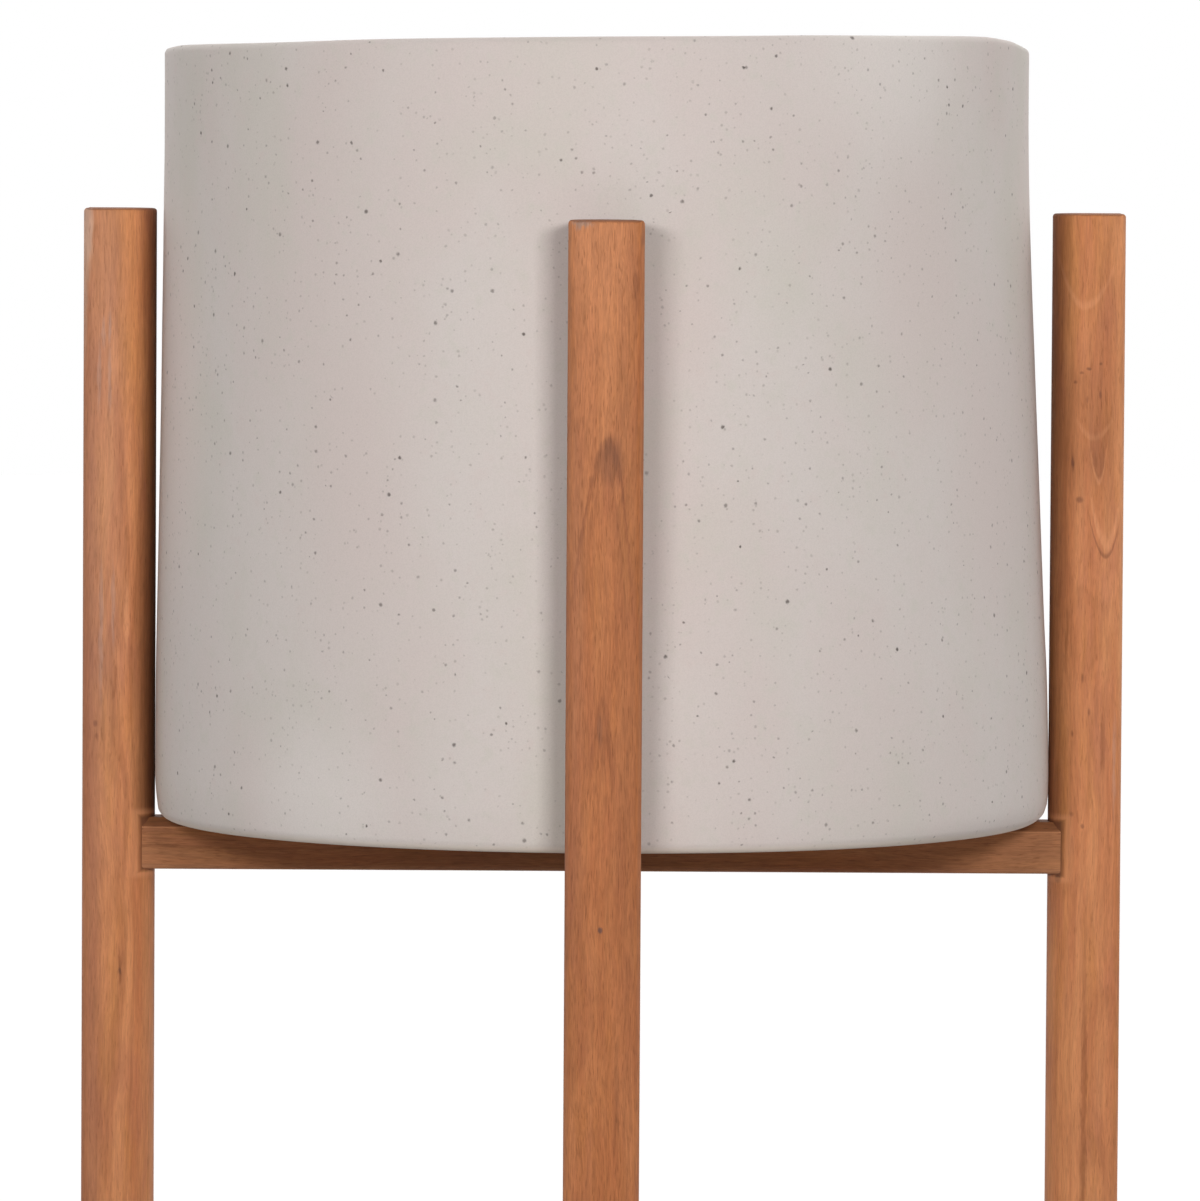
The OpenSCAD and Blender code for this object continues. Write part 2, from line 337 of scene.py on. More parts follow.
def painted_inner_shade(t, board, spots):
    """Painted shade on a leg's rounded side: deep above the rails, where the pot shades it, and slight
    below them. It isn't the same near the rails and near the top.
    """
    outer, _, up = spots
    low, high = SHADE_START
    start = t.step(up, low * MM, high * MM, board.start[0] * MM, board.start[1] * MM)
    inward = t.step(t.minus(outer, start), -SHADE_WIDTH * MM, 0.0, 1.0, 0.0)
    low, high = SHADE_STRENGTH
    inner = t.step(up, low * MM, high * MM, board.inner[0], board.inner[1])
    above = t.step(up, RAIL_HIGH.z - 6 * MM, RAIL_HIGH.z + 6 * MM)
    least = t.calc("MULTIPLY_ADD", above, t.minus(inner, board.low), board.low)
    return t.calc("MULTIPLY_ADD", inward, t.minus(least, 1.0), 1.0)


def painted_bevel_light(t, board, place, normal):
    """Painted shade on a rail's top chamfers, where the pot shades them, and a painted highlight along
    their lower edges.
    """
    across, depth, _ = t.split(normal)
    level = t.split(place)[0]
    depth = t.size(depth)
    shaded_chamfer = t.times(t.step(across, -0.6, -0.3, 1.0, 0.0), t.step(depth, 0.3, 0.6))
    edge = t.size(t.plus(level, (board.half[0] - RAIL_CHAMFER) * MM))
    edge = t.times(t.step(edge, 0.2 * MM, 0.9 * MM, BEVEL_HIGHLIGHT, 0.0), t.step(depth, 0.6, 0.9))
    return t.calc("MULTIPLY_ADD", shaded_chamfer, -BEVEL_SHADE, 1.0), edge


def arrises(t, board, spots):
    """Where the edges along a board's outer side are."""
    outer, side, _ = spots
    arris = t.step(outer, (board.half[0] - 3.0) * MM, (board.half[0] - 0.4) * MM)
    side = t.size(side)
    return t.times(arris, t.step(side, (board.half[1] - 2.6) * MM, (board.half[1] - 0.3) * MM))


def wood_hue(t, fibre, late):
    """Broad changes of tone and hue, and the darker late wood."""
    tone = t.noise(t.scaled(fibre, 120, 120, 9), 3.0, 0.6)
    blush = t.noise(t.scaled(fibre, 75, 75, 16), 3.0, 0.65)
    ochre = t.noise(t.scaled(t.moved(fibre, 3, 4, 5), 95, 95, 13), 3.0, 0.65)
    base = t.mix(t.step(tone, 0.26, 0.74), colour(WOOD_LIGHT), colour(WOOD_WARM))
    base = t.mix(t.step(ochre, 0.45, 0.72, 0.0, 0.55), base, colour(WOOD_OCHRE))
    base = t.mix(t.step(blush, 0.45, 0.72, 0.0, 0.55), base, colour(WOOD_PINK))
    return t.mix(t.times(late, 0.30), base, colour(WOOD_DARK))


def wood_marks(t, base, board, spread, blur):
    """Arches, knots, heart streaks and scuffs."""
    for arch in board.arches:
        thin = arch[2][0] < THIN_ARCH
        shade = arch_shade(t, blur if thin else spread, board.face, arch)
        base = t.mix(shade, base, colour(arch[-1]))
    for mark in board.marks:
        small = max(mark[1]) < PIN_KNOT
        base = t.blot(base, blur if small else spread, *mark)
    return base


def wood_fibre(t, base, board, streak, fine, pore):
    """Streaks, fine fibre and short pores."""
    shade = t.step(fine, 0.30, 0.70, 1 + 0.13 * board.grain, 1 - 0.14 * board.grain)
    shade = t.times(shade, t.step(streak, 0.30, 0.75, 1.05 * board.tone, 0.87 * board.tone))
    base = t.bright(base, shade)
    return t.mix(t.times(pore, 0.36 * board.grain), base, colour(WOOD_PORE))


def wood(name, board):
    """The material of one board."""
    material, t = new_material(name)
    place, normal = board_place(t, board)
    spots = t.split(place)
    seeded = t.moved(place, 0.37 * board.seed, 0.91 * board.seed, 0.53 * board.seed)

    # The fibres wander a little along the board
    wander = t.offset(t.scaled(seeded, 9, 9, 8), (9 * MM, 9 * MM, 0))
    late = ring_bands(t, t.vector("ADD", place, wander), board)
    fibre = t.vector("ADD", seeded, wander)
    base = wood_hue(t, fibre, late)

    # Marks have ragged edges, small ones less so
    ragged = t.offset(t.scaled(seeded, 700, 700, 130), (2.2 * MM, 2.2 * MM, 9 * MM))
    spread = t.vector("ADD", place, ragged)
    blur = t.vector("ADD", place, t.scaled(ragged, 0.3, 0.3, 0.08))
    base = wood_marks(t, base, board, spread, blur)

    streak = t.noise(t.scaled(fibre, 620, 620, 38), 3.0, 0.65)
    fine = t.noise(t.scaled(fibre, 1500, 1500, 125), 3.0, 0.65)
    pore = t.step(t.noise(t.scaled(fibre, 2100, 2100, 170), 1.0), 0.58, 0.74)
    base = wood_fibre(t, base, board, streak, fine, pore)

    if board.lying:
        # Painted shade on the chamfers, and a painted highlight along their lower edges
        light, edge = painted_bevel_light(t, board, place, normal)
        base = t.mix(edge, t.bright(base, light), colour(WOOD_PALE))
    if board.inner:
        # Painted shade on a leg's rounded side, where the pot shades it
        base = t.bright(base, painted_inner_shade(t, board, spots))
        line, collar = joint_line(t, blur)
        base = t.mix(collar, base, colour(WOOD_PALE))
        base = t.mix(line, base, colour(WOOD_PORE))

    # Arrises turn greyer, partly from wear and partly painted shade where the rounded edges turn from
    # the light, and sawn ends drink more oil
    base = t.mix(t.times(arrises(t, board, spots), board.worn), base, colour(WOOD_WORN_AND_SHADED))
    end = t.step(t.size(t.split(normal)[2]), 0.35, 0.85)
    base = t.mix(t.times(end, 0.6), base, colour(WOOD_END))

    relief = t.minus(t.times(fine, 0.5), pore)
    rough = t.plus(t.step(pore, 0.0, 1.0, 0.56, 0.7), t.times(end, 0.15))
    paint(t, base=base, rough=rough, normal=t.bump(relief, 0.06 * MM), specular=0.18)
    return material


# The marks and arches of each board. Board says what their values are
FRONT_MARKS = (
    ((16, -2, 515), (40, 19, 140), 0.5, WOOD_PALE),
    ((16, -4, 525), (20, 22, 62), 0.6, WOOD_PALE),
    ((16, 0, 260), (300, 300, 1500), 0.35, WOOD_RED),
    ((16, -16.5, 330), (30, 12, 270), 0.38, WOOD_EDGE),
    ((16, 11, 340), (30, 9, 270), 0.26, WOOD_DARK),
    ((16, -1.0, 220.4), (2.6, 1.5, 1.9), 0.85, WOOD_KNOT),
    ((16, 12.7, 495), (4, 2.0, 9), 0.6, WOOD_DARK),
    ((16, 15.6, 515), (4, 1.8, 6), 0.6, WOOD_HEART),
    ((16, -1.6, 306), (4, 1.8, 9), 0.55, WOOD_HEART),
    ((16, 6.0, 150), (4, 1.6, 45), 0.3, WOOD_DARK),
    ((16, 2.4, 420), (4, 7.5, 15), 0.45, WOOD_ARCH),
    ((16, 2.6, 423), (4, 6.5, 10), 0.16, WOOD_SPOT),
    ((16, -10.5, 521), (4, 6.5, 2.6), 0.6, WOOD_GREY),
)
FRONT_ARCHES = (
    ((2.0, 431), (0.27, 0.7), (15, 95), 0.8, WOOD_ARCH),
    ((1.0, 418), (0.4, 0.9), (26, 70), 0.35, WOOD_ARCH),
    ((0.0, 322), (0.9, 1.6), (33, 60), 0.5, WOOD_ARCH),
    ((1.2, 306), (2.4, 3.0), (22, 40), 0.45, WOOD_ARCH),
)
RIGHT_MARKS = (
    ((16, -16, 420), (5, 6, 260), 0.5, WOOD_PALE),
    ((8.5, -16, 450), (9, 9, 105), 0.28, WOOD_DARK),
    ((-5, -16, 426), (20, 8, 42), 0.4, WOOD_DARK),
    ((-12, -10.7, 225.2), (2.9, 2.9, 2.9), 0.75, WOOD_STAIN),
    ((0.2, -16, 120), (1.9, 5, 105), 0.55, WOOD_DARK),
    ((-0.2, -16, 453.2), (1.7, 2.5, 1.0), 0.7, WOOD_SPOT),
    ((-3.4, -16, 451.4), (1.4, 2.5, 0.9), 0.55, WOOD_SPOT),
    ((-6.3, -16, 447.2), (1.3, 2.5, 1.3), 0.75, WOOD_SPOT),
    ((5.0, -16, 455.5), (1.0, 2.5, 1.0), 0.6, WOOD_SPOT),
    ((4.8, -16, 441.8), (0.8, 2.5, 2.9), 0.6, WOOD_SPOT),
    ((-0.8, -16, 439.5), (0.8, 2.5, 2.2), 0.45, WOOD_SPOT),
    ((-8.4, -16, 440.6), (2.0, 2.5, 2.6), 0.4, WOOD_RUSSET),
    ((-7.1, -16, 411.0), (1.2, 4, 6.5), 0.85, WOOD_SPOT),
    ((-4.1, -16, 394.7), (2.3, 2.5, 2.0), 0.6, WOOD_SPOT),
    ((-9.0, -16, 333.0), (1.2, 6, 24), 0.5, WOOD_DARK),
    ((-2.0, -16, 315.0), (0.9, 2.5, 2.9), 0.5, WOOD_SPOT),
    ((1.1, -16, 300.0), (0.8, 2.5, 2.5), 0.5, WOOD_SPOT),
    ((-6.4, -16, 290.3), (0.9, 2.5, 2.4), 0.7, WOOD_SPOT),
    ((7.2, -16, 285.0), (1.6, 5, 19), 0.6, WOOD_RUSSET),
    ((12.4, -16, 276.0), (1.2, 5, 32), 0.35, WOOD_MAUVE),
    ((-9.4, -16, 260.0), (1.5, 2.5, 2.0), 0.55, WOOD_SPOT),
    ((-6.4, -16, 254.1), (1.6, 2.5, 1.8), 0.45, WOOD_SPOT),
    ((-1.5, -16, 248.9), (1.1, 2.5, 1.6), 0.6, WOOD_SPOT),
)
RIGHT_ARCHES = (
    ((8.0, 368.3), (0.30, 0.45), (3.2, -28), 0.5, WOOD_SPOT),
    ((8.4, 371.5), (0.38, 0.60), (10, -34), 0.45, WOOD_PALE),
    ((4.6, 402.8), (1.2, 1.6), (24, -32), 0.4, WOOD_SPOT),
    ((4.6, 401.0), (0.9, 1.2), (5, -26), 0.4, WOOD_PALE),
    ((2.1, 420.8), (0.14, 0.12), (4.5, -14), 0.4, WOOD_PALE),
    ((-2.5, 479.0), (0.17, 0.10), (5.5, -34), 0.32, WOOD_PALE),
)
LEFT_MARKS = (
    ((-3, 16, 505), (9, 8, 120), 0.15, WOOD_PALE),
    ((-4, 16, 478), (6.5, 8, 75), 0.4, WOOD_OCHRE),
    ((6, 16, 478), (7, 8, 80), 0.35, WOOD_PINK),
    ((8, 16, 420), (16, 10, 240), 0.15, WOOD_GREY),
    # Painted highlight where the rounded outer edge and top corner catch the light
    ((16, 16, 505), (3.5, 4.5, 75), 0.6, WOOD_HIGHLIGHT),
    ((13.6, 16, 514), (3.2, 5, 26), 0.6, WOOD_HIGHLIGHT),
    ((3.9, 16, 469.2), (1.4, 5, 9), 0.6, WOOD_MAUVE),
    ((6.8, 16, 466.5), (1.2, 5, 9), 0.5, WOOD_MAUVE),
    ((8.6, 16, 447.0), (1.4, 5, 22), 0.55, WOOD_MAUVE),
    ((3.9, 16, 446.0), (1.4, 5, 19), 0.5, WOOD_MAUVE),
    ((7.4, 16, 333.0), (1.5, 5, 44), 0.6, WOOD_MAUVE),
    ((2.0, 16, 345.0), (1.2, 5, 26), 0.4, WOOD_MAUVE),
    ((-3.9, 16, 341.0), (1.6, 5, 22), 0.5, WOOD_PALE),
    ((0.9, 16, 313.0), (0.8, 5, 10), 0.5, WOOD_DARK),
    ((9.9, 16, 292.4), (1.3, 2.5, 2.2), 0.8, WOOD_SPOT),
    ((9.2, 16, 286.8), (1.2, 2.5, 1.8), 0.55, WOOD_SPOT),
    ((14, 16, 200), (10, 9, 480), 0.6, WOOD_EDGE),
    ((-1.4, 16, 183.6), (1.1, 4, 12), 0.75, WOOD_DARK),
    ((-1.4, 16, 181.6), (1.2, 4, 2.4), 0.7, WOOD_PORE),
)
BACK_ARCHES = (
    ((-2.0, 380), (0.5, 0.35), (38, 70), 0.6, WOOD_HEART),
)
RAIL_LIGHT_AND_SHADE = (
    # Painted light on the right end, which reaches out from under the pot
    ((0, -12, 200), (20, 20, 110), 0.75, WOOD_LIGHT),
    # Painted shade on the middle, in the pot's shadow
    ((0, -12, -20), (30, 20, 130), 0.3, WOOD_PORE),
)


def dress_wood():
    """Gives the four legs and the two rails their own materials."""
    # inner, start and low set the painted shade on each leg's rounded side
    boards = {
        "leg_front": leg_board("front", pith=(-52, 2), tilt=(0.016, 0.002), seed=1, tone=0.79,
                               inner=(0.5, 0.5), marks=FRONT_MARKS, arches=FRONT_ARCHES),
        "leg_right": leg_board("right", pith=(8, 64), tilt=(0.004, 0.006), seed=2, tone=1.07,
                               inner=(0.72, 0.45), start=(-2, -2.5), low=0.94, worn=0.1, grain=0.6,
                               face=0, marks=RIGHT_MARKS, arches=RIGHT_ARCHES),
        "leg_left": leg_board("left", pith=(-12, -70), tilt=(-0.003, 0.004), seed=3, tone=1.07,
                              inner=(0.34, 0.36), start=(-3, -6), low=0.97, worn=0.1, grain=0.6,
                              face=0, marks=LEFT_MARKS),
        "leg_back": leg_board("back", pith=(-60, 14), tilt=(0.012, 0.0), seed=4,
                              inner=(0.5, 0.45), arches=BACK_ARCHES),
        "rail_across": rail_board("right", pith=(60, 8), tilt=(0.0, 0.004), seed=5, tone=0.69,
                                  marks=RAIL_LIGHT_AND_SHADE),
        "rail_through": rail_board("back", pith=(-50, 12), tilt=(0.003, 0.0), seed=6, tone=0.69),
    }
    for name, board in boards.items():
        dress(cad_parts[name], wood(name + "_wood", board))


# ---- Stoneware

CLAY = "#cdc4bf"
CLAY_PINK = "#ccbfba"
CLAY_GREEN = "#c5c0b6"
CLAY_SPECK = "#4a413c"
CLAY_FAINT = "#857b74"
CLAY_FOOT = "#e6dacb"
CLAY_PAINTED_LIGHT = "#dcd5d0"
CLAY_ROSE_PAINTED_LIGHT = "#e2cec6"

# The pinker zones, and paler ones that are painted light, as (place, radii, strength, colour) in
# millimetres
CLAY_ZONES = (
    ((-106, -165, 400), (45, 70, 130), 0.8, CLAY_PINK),
    ((136, -140, 500), (42, 70, 90), 0.8, CLAY_PINK),
    ((170, -95, 400), (35, 60, 90), 0.8, CLAY_PINK),
    ((128, -150, 600), (70, 80, 75), 0.6, CLAY_PAINTED_LIGHT),
    ((-130, -160, 265), (60, 70, 60), 0.5, CLAY_PAINTED_LIGHT),
    ((-185, -60, 440), (25, 60, 130), 0.4, CLAY_ROSE_PAINTED_LIGHT),
)

# The three sizes of speck: spacing of their grid and their least and most radius in millimetres,
# the share of the grid that has one, how dark they are, their colour and the grid's seed
FAINT_SPECKS = {"cell": 3.1, "least": 0.45, "most": 0.95, "share": 0.55, "strength": 0.42,
                "tint": CLAY_FAINT, "seed": 1.0}
SMALL_SPECKS = {"cell": 4.9, "least": 0.58, "most": 1.00, "share": 0.58, "strength": 0.52,
                "tint": CLAY_SPECK, "seed": 2.0}
LARGE_SPECKS = {"cell": 7.6, "least": 0.80, "most": 1.35, "share": 0.42, "strength": 0.82,
                "tint": CLAY_SPECK, "seed": 3.0}


def specks(t, place, crowd, base, cell, least, most, share, strength, tint, seed):
    """base with grains of iron on it, on a jittered grid, and where they are. crowd says where they
    come closer together."""
    inputs = {"Vector": t.moved(place, seed, seed, seed), "Scale": 1 / (cell * MM)}
    points = t.node("TexVoronoi", inputs)
    chance, spread, fade = t.split(points.outputs["Color"])
    radius = t.calc("MULTIPLY_ADD", spread, (most - least) / cell, least / cell)
    inside = t.calc("DIVIDE", points.outputs["Distance"], radius)
    there = t.calc("LESS_THAN", chance, t.times(crowd, share))
    grain = t.times(t.step(inside, 0.30, 1.0, strength, 0.0), there)
    grain = t.times(grain, t.calc("MULTIPLY_ADD", fade, 0.5, 0.6))
    return t.mix(grain, base, colour(tint)), grain


def clay_hue(t, place):
    """Clouds and fine mottle of pink and green, the pinker zones and the paler ones of painted light."""
    cloud = t.noise(t.scaled(place, 14, 14, 7), 2.0, 0.55)
    moss = t.noise(t.scaled(t.moved(place, 3, 1, 2), 20, 20, 12), 2.0, 0.55)
    mottle = t.noise(t.scaled(place, 130, 130, 130), 2.0, 0.6)
    base = t.mix(t.step(cloud, 0.38, 0.68, 0.0, 0.8), colour(CLAY), colour(CLAY_PINK))
    base = t.mix(t.step(moss, 0.45, 0.75, 0.0, 0.6), base, colour(CLAY_GREEN))
    base = t.mix(t.step(mottle, 0.50, 0.80, 0.0, 0.5), base, colour(CLAY_GREEN))
    base = t.mix(t.step(mottle, 0.20, 0.46, 0.5, 0.0), base, colour(CLAY_PINK))
    for zone in CLAY_ZONES:
        base = t.blot(base, place, *zone, core=0.1)
    return base


def stoneware():
    """Matte clay with sand and specks in it, and bare round the foot."""
    material, t = new_material("speckled_stoneware")
    place = t.place()
    sand = t.noise(t.scaled(place, 1500, 1500, 1500), 2.0, 0.7)
    base = clay_hue(t, place)
    base = t.mix(t.step(sand, 0.35, 0.70, 0.0, 0.10), base, colour(CLAY_FAINT))

    ragged = t.offset(t.scaled(place, 900, 900, 900), (0.7 * MM, 0.7 * MM, 0.7 * MM), detail=1.0)
    ragged = t.vector("ADD", place, ragged)
    crowd = t.noise(t.scaled(t.moved(place, 5, 2, 7), 55, 55, 55), 2.0, 0.6)
    crowd = t.step(crowd, 0.35, 0.65, 0.45, 1.45)
    base, faint = specks(t, ragged, crowd, base, **FAINT_SPECKS)
    base, small = specks(t, ragged, crowd, base, **SMALL_SPECKS)
    base, large = specks(t, ragged, crowd, base, **LARGE_SPECKS)

    foot = t.step(t.split(place)[2], POT_LOW.z + 1.0 * MM, POT_LOW.z + 3.8 * MM, 1.0, 0.0)
    base = t.mix(t.times(foot, 0.6), base, colour(CLAY_FOOT))
    pits = t.plus(t.plus(small, large), faint)
    relief = t.minus(sand, t.times(pits, 1.2))
    paint(t, base=base, rough=0.78, normal=t.bump(relief, 0.05 * MM), specular=0.3)
    return material


# ---- Turned pieces

def arc(x, y, radius, start, end, steps):
    """Points on an arc, from start to end in degrees, both included."""
    angles = [math.radians(start + (end - start) * i / steps) for i in range(steps + 1)]
    return [(x + radius * math.cos(a), y + radius * math.sin(a)) for a in angles]


def line(a, b, steps):
    """Points from a to b, with neither end."""
    return [(a[0] + (b[0] - a[0]) * i / steps, a[1] + (b[1] - a[1]) * i / steps) for i in range(1, steps)]


def smooth(x):
    """0 below 0, 1 above 1, and smooth between them."""
    x = min(1.0, max(0.0, x))
    return x * x * (3 - 2 * x)


def ring_mesh(name, rows, closed=True, crease=None):
    """A mesh from rows of points, each row a ring. closed joins the last row to the first, or else
    both ends are capped. Edges sharper than crease, in degrees, stay sharp."""
    count, around = len(rows), len(rows[0])
    points = [p for row in rows for p in row]
    faces = []
    for j in range(count if closed else count - 1):
        k = (j + 1) % count
        for i in range(around):
            n = (i + 1) % around
            faces.append((j * around + i, j * around + n, k * around + n, k * around + i))
    if not closed:
        faces.append(tuple(reversed(range(around))))
        faces.append(tuple((count - 1) * around + i for i in range(around)))
    mesh = bpy.data.meshes.new(name)
    mesh.from_pydata([tuple(p) for p in points], [], faces)
    mesh.update()
    mesh.shade_smooth()
    if crease:
        mesh.set_sharp_from_angle(angle=math.radians(crease))
    made = bpy.data.objects.new(name, mesh)
    bpy.context.scene.collection.objects.link(made)
    return made


def turned(name, section, foot, axis=UP, around=48, shape=None, closed=False, crease=40):
    """A mesh turned round an axis from (radius, height) points in millimetres, above its foot.
    shape(radius, height, angle) gives the radius where it isn't round."""
    side = axis.orthogonal().normalized()
    other = axis.cross(side)
    rows = []
    for r, h in section:
        row = []
        for i in range(around):
            a = 2 * math.pi * i / around
            reach = shape(r, h, a) if shape else r
            row.append(foot + (side * math.cos(a) + other * math.sin(a)) * reach * MM + axis * h * MM)
        rows.append(row)
    return ring_mesh(name, rows, closed, crease)


def stands_for(piece, body, slot, *nodes):
    """Puts a piece on its body, in place of the CAD nodes."""
    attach(piece, body)
    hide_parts(*nodes)


# ---- Pot, in millimetres above its foot and out from its middle line

POT_AROUND = 288
POT_HEIGHT = (POT_HIGH.z - POT_LOW.z) / MM
POT_BELLY = 199.9

# The outside, as (height, radius, lean to the right)
POT_SIDE = (
    (0, 199.9, 0.0), (30, 199.8, 0.0), (64, 199.3, -0.4), (90, 198.4, -0.9), (125, 197.3, -1.4),
    (160, 196.3, -1.9), (200, 195.1, -2.5), (250, 193.7, -3.3), (300, 192.9, -3.9), (352, 192.7, -4.1),
)

# The rim in front and behind, as (place across from -1 to 1, height over POT_HEIGHT)
RIM = (
    (-1.0, -7.4), (-0.985, -6.9), (-0.963, -6.2), (-0.9, -5.6), (-0.8, -5.0), (-0.68, -4.2),
    (-0.54, -3.1), (-0.4, -2.4), (-0.26, -1.9), (0.0, -1.15), (0.29, -0.6), (0.5, -0.08),
    (0.7, -0.06), (0.8, -0.06), (0.86, -0.2), (0.9, -0.5), (0.935, -1.5), (0.955, -2.2),
    (0.97, -3.2), (0.99, -4.7), (1.0, -5.3),
)
RIM_BACK = ((-1.0, -7.4), (0.0, -5.6), (1.0, -5.3))

# Above this height the pot's faults grow towards the rim. Below the other two, its bottom edge is
# tucked in all round and worn away at the right
POT_TRUE = 120
POT_TUCK = 20
POT_BITE = 11

POT_WALL = 10
POT_FLOOR = 15
POT_CORNER = 16
FOOT_EDGE = 5
FOOT_RING = 28
FOOT_HOLLOW = 3
LIP_OUTER, LIP_INNER = 3.0, 3.6
DRAIN = 11
DRAIN_EDGE = 0.6
THROW_RINGS = 8.5

# The parts of the pot's skin
UNDER, OUTSIDE, INSIDE = 0, 1, 2


def along(table, x, column=1):
    """A smooth curve through a table's points, flat before the first and after the last."""
    xs = [row[0] for row in table]
    ys = [row[column] for row in table]
    x = min(max(x, xs[0]), xs[-1])
    i = min(sum(x >= v for v in xs), len(xs) - 1) - 1
    width = xs[i + 1] - xs[i]

    def slope(k):
        before, after = max(k - 1, 0), min(k + 1, len(xs) - 1)
        return (ys[after] - ys[before]) / (xs[after] - xs[before])

    u = (x - xs[i]) / width
    rise = ys[i + 1] - ys[i]
    lean = slope(i) * (1 - u) - slope(i + 1) * u
    return ys[i] + rise * u * u * (3 - 2 * u) + width * u * (1 - u) * lean


def pot_side(h):
    """Radius of the pot's outside at a height."""
    return along(POT_SIDE, h)


def pot_foot():
    """The section from the drain hole outwards under the pot, and up its rounded bottom edge."""
    foot = pot_side(FOOT_EDGE)
    ring = foot - FOOT_RING
    hollow = ring - FOOT_HOLLOW - 1
    start = (DRAIN + DRAIN_EDGE, FOOT_HOLLOW)
    under = [start] + line(start, (hollow, FOOT_HOLLOW), 8)
    under += arc(hollow, FOOT_HOLLOW - 1, 1, 90, 45, 2)
    under += arc(ring + 1, 1, 1, 225, 270, 3)
    under += line((ring + 1, 0), (foot - FOOT_EDGE, 0), 5)
    return under, arc(foot - FOOT_EDGE, FOOT_EDGE, FOOT_EDGE, -90, 0, 10)


def pot_lip(top):
    """The section over the lip, from the outside to the inside."""
    lip = arc(pot_side(top) - LIP_OUTER, top, LIP_OUTER, 0, 90, 9)
    inner = pot_side(POT_HEIGHT) - POT_WALL
    return lip + arc(inner + LIP_INNER, POT_HEIGHT - LIP_INNER, LIP_INNER, 90, 180, 7)


def pot_inside():
    """The section down the inside, round its corner and over the floor."""
    low, high = POT_FLOOR + POT_CORNER, POT_HEIGHT - LIP_INNER
    inside = [(pot_side(h) - POT_WALL, h) for h in np.linspace(high, low, 100)[1:-1]]
    corner = pot_side(low) - POT_WALL - POT_CORNER
    inside += arc(corner, low, POT_CORNER, 0, -90, 12)
    return inside + line((corner, POT_FLOOR), (DRAIN + DRAIN_EDGE, POT_FLOOR), 24)


def pot_drain():
    """The section down the drain hole."""
    edge, high, low = DRAIN_EDGE, POT_FLOOR - DRAIN_EDGE, FOOT_HOLLOW + DRAIN_EDGE
    hole = arc(DRAIN + edge, high, edge, 90, 180, 3)
    hole += line((DRAIN, high), (DRAIN, low), 4)
    return hole + arc(DRAIN + edge, low, edge, 180, 270, 3)[:-1]


def pot_section():
    """The pot's section as (radius, height, skin) points: from the drain hole, under the foot, up the
    outside, over the lip and down the inside to the drain hole again."""
    top = POT_HEIGHT - LIP_OUTER
    under, edge = pot_foot()
    outside = [(pot_side(h), h) for h in np.linspace(FOOT_EDGE, top, 100)[1:-1]]
    parts = (
        (under, UNDER), (edge, OUTSIDE), (outside, OUTSIDE), (pot_lip(top), OUTSIDE),
        (pot_inside(), INSIDE), (pot_drain(), UNDER),
    )
    return [(r, h, skin) for part, skin in parts for r, h in part]


def rim_height(angle):
    """How far the rim stands above POT_HEIGHT, round the pot: it's a little higher in front."""
    front = along(RIM, math.cos(angle))
    back = along(RIM_BACK, math.cos(angle))
    return front + (back - front) * smooth(0.5 + 2.5 * math.sin(angle))


def pot_point(r, h, skin, angle):
    """A point of the pot, with the small faults of a hand-finished one."""
    across, deep = math.cos(angle), math.sin(angle)
    lift = smooth((h - POT_TRUE) / (POT_HEIGHT - POT_TRUE))
    free = smooth((h - 4) / 16)

    # Broad waves, and smaller ones over them
    wave = noise.noise(Vector((across * 2.1, deep * 2.1, h / 90))) * 0.5
    wave += noise.noise(Vector((across * 7, deep * 7, h / 30 + 9))) * 0.12
    if skin == OUTSIDE:
        r += free * wave * lift
    if skin != INSIDE and h < POT_TUCK:
        r -= (1.4 - 0.7 * across) * (1 - h / POT_TUCK) ** 1.6 * smooth((r - 150) / 40)
    if skin != INSIDE and h < POT_BITE:
        r -= 4.0 * smooth(across * 1.6 - 0.6) * (1 - h / POT_BITE) ** 2 * smooth((r - 150) / 40)
    if skin == INSIDE:
        ring = math.sin(2 * math.pi * (h / THROW_RINGS) + angle)
        r += 0.35 * ring * smooth((h - POT_FLOOR - 6) / 20)
        r += wave
    x = r * across + along(POT_SIDE, h, 2)
    y = r * deep
    reach = math.hypot(x, y)
    keep = min(1.0, POT_BELLY / reach) if reach else 1.0
    return Vector((x * keep * MM, y * keep * MM, POT_LOW.z + (h + lift * rim_height(angle)) * MM))


def make_pot():
    """The stoneware pot, on its own body."""
    angles = [2 * math.pi * i / POT_AROUND for i in range(POT_AROUND)]
    rows = [[pot_point(r, h, skin, a) for a in angles] for r, h, skin in pot_section()]
    pot = ring_mesh("stoneware_pot", rows)
    dress(pot, stoneware())
    stands_for(pot, "pot", "pot_stoneware", "pot")


# ---- Small parts, in millimetres

NYLON = "#3b3734"
STEEL = "#9a9da0"
BOLT_GREY = "#a6a8a8"
BRASS = "#b8953f"
RUBBER = "#2d2c2b"
BIRCH = "#dcc196"
BIRCH_DARK = "#cda877"
BIRCH_FLECK = "#a57d50"
GRIME = (0.02, 0.02, 0.02, 1)


def plain(name, base, rough, metal=0.0):
    """One colour, a little mottled and uneven."""
    material, t = new_material(name)
    mottle = t.noise(t.scaled(t.place(), 900, 900, 900), 3.0, 0.6)
    tint = t.mix(t.step(mottle, 0.3, 0.7, 0.0, 0.35), colour(base), GRIME)
    shine = t.step(mottle, 0.3, 0.7, rough, rough + 0.15)
    paint(t, base=tint, rough=shine, metal=metal, normal=t.bump(mottle, 0.02 * MM))
    return material


